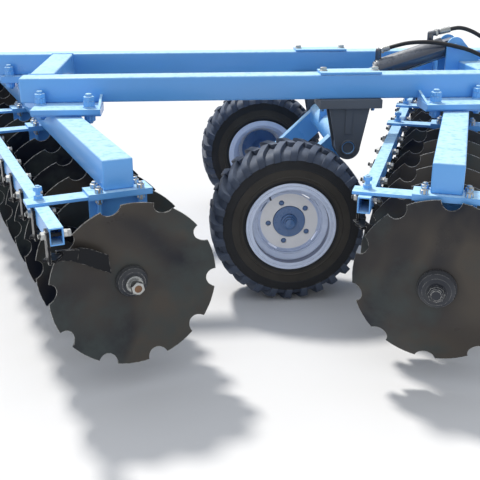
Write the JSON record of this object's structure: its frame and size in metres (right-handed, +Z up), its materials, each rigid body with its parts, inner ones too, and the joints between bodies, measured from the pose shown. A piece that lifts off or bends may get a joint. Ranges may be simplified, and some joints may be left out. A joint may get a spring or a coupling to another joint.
{
  "type": "disc harrow",
  "caption": "Trailed disc harrow: angled gangs of notched discs under a tube frame with a lifting wheel axle and drawbar.",
  "frame": {"origin": "on the ground, under the middle of the bounding box", "axes": "+X towards the hitch, +Y to the left of the machine, +Z up"},
  "size_m": [5.5812, 3.5012, 1.296],
  "materials": {
    "blue_paint": "gloss",
    "disc_black": "gloss",
    "barrel_black": "satin",
    "dark_grey": "satin",
    "rim_silver": "satin",
    "zinc": "satin",
    "hose_rubber": "satin",
    "tyre": "matte"
  },
  "bodies": {
    "frame": {"rail_right": "blue_paint", "rail_left": "blue_paint", "cross_tubes": "blue_paint", "gang_clamps": "blue_paint", "front_gang_beam": "blue_paint", "rear_gang_beam": "blue_paint", "front_hangers": "blue_paint", "rear_hangers": "blue_paint", "front_bearings": "blue_paint", "rear_bearings": "blue_paint", "front_scraper_bar": "blue_paint", "rear_scraper_bar": "blue_paint", "front_scrapers": "disc_black", "rear_scrapers": "disc_black", "axle_brackets": "dark_grey", "axle_clamps": "blue_paint", "cylinder_bracket": "blue_paint", "levelling_mast": "blue_paint", "frame_hoses": "hose_rubber"},
    "axle": {"rockshaft": "blue_paint", "spindles": "blue_paint"},
    "wheel_right": {"tyre_right": "tyre", "rim_right": "rim_silver", "hub_right": "blue_paint"},
    "wheel_left": {"tyre_left": "tyre", "rim_left": "rim_silver", "hub_left": "blue_paint"},
    "cylinder": {"cylinder_barrel": "barrel_black", "cylinder_hose": "hose_rubber"},
    "piston_rod": {"cylinder_rod": "zinc", "stop_collars": "zinc"},
    "drawbar": {"drawbar": "blue_paint", "hitch_clevis": "dark_grey", "jack_sleeve": "blue_paint", "drawbar_hoses": "hose_rubber", "hose_couplers": "zinc"},
    "jack": {"jack_leg": "zinc"},
    "levelling_sleeve": {"screw_sleeve": "blue_paint"},
    "levelling_rod": {"screw_rod": "zinc"},
    "front_right_gang": {"front_right_discs": "disc_black", "front_right_spools": "disc_black", "front_right_shaft": "zinc"},
    "front_left_gang": {"front_left_discs": "disc_black", "front_left_spools": "disc_black", "front_left_shaft": "zinc"},
    "rear_right_gang": {"rear_right_discs": "disc_black", "rear_right_spools": "disc_black", "rear_right_shaft": "zinc"},
    "rear_left_gang": {"rear_left_discs": "disc_black", "rear_left_spools": "disc_black", "rear_left_shaft": "zinc"}
  },
  "joints": [
    {"name": "front_right_gang_spin", "type": "hinge", "parent": "frame", "child": "front_right_gang", "pos_m": [-0.20062, -1.62943, 0.448], "axis": [0.342, 0.9397, 0], "continuous": true},
    {"name": "front_left_gang_spin", "type": "hinge", "parent": "frame", "child": "front_left_gang", "pos_m": [0.40749, 0.04134, 0.448], "axis": [0.342, 0.9397, 0], "continuous": true},
    {"name": "rear_right_gang_spin", "type": "hinge", "parent": "frame", "child": "rear_right_gang", "pos_m": [-1.36022, -1.47343, 0.448], "axis": [-0.342, 0.9397, 0], "continuous": true},
    {"name": "rear_left_gang_spin", "type": "hinge", "parent": "frame", "child": "rear_left_gang", "pos_m": [-1.96833, 0.19734, 0.448], "axis": [-0.342, 0.9397, 0], "continuous": true},
    {"name": "axle_lift", "type": "hinge", "parent": "frame", "child": "axle", "pos_m": [-0.31342, 0.06454, 0.695], "axis": [0, 1, 0], "range_deg": [-4, 28]},
    {"name": "wheel_right_spin", "type": "hinge", "parent": "axle", "child": "wheel_right", "pos_m": [-0.63942, -0.63246, 0.39], "axis": [0, 1, 0], "continuous": true},
    {"name": "wheel_left_spin", "type": "hinge", "parent": "axle", "child": "wheel_left", "pos_m": [-0.63942, 0.76154, 0.39], "axis": [0, 1, 0], "continuous": true},
    {"name": "cylinder_pitch", "type": "hinge", "parent": "frame", "child": "cylinder", "pos_m": [0.34558, 0.06454, 1.142], "axis": [0, 1, 0], "range_deg": [-5.12, 0.99]},
    {"name": "cylinder_extend", "type": "slide", "parent": "cylinder", "child": "piston_rod", "axis": [-0.9494, 0, -0.314], "range_m": [-0.0958, 0.015]},
    {"name": "drawbar_swing", "type": "hinge", "parent": "frame", "child": "drawbar", "pos_m": [0.92258, 0.06454, 0.962], "axis": [0, 1, 0], "range_deg": [-6, 6]},
    {"name": "jack_extend", "type": "slide", "parent": "drawbar", "child": "jack", "axis": [0, 0, 1], "range_m": [0, 0.25]},
    {"name": "screw_pitch", "type": "hinge", "parent": "frame", "child": "levelling_sleeve", "pos_m": [0.81558, 0.06454, 1.262], "axis": [0, 1, 0], "range_deg": [-4.74, 4.74]},
    {"name": "screw_extend", "type": "slide", "parent": "levelling_sleeve", "child": "levelling_rod", "axis": [0.8992, 0, -0.4376], "range_m": [-0.0249, 0.0249]}
  ],
  "couplings": [
    {"joint": "cylinder_pitch", "follows": "axle_lift", "ratio": -0.172},
    {"joint": "cylinder_extend", "follows": "axle_lift", "m_per_rad": -0.193},
    {"joint": "screw_pitch", "follows": "drawbar_swing", "ratio": 0.74},
    {"joint": "screw_extend", "follows": "drawbar_swing", "m_per_rad": 0.223}
  ]
}
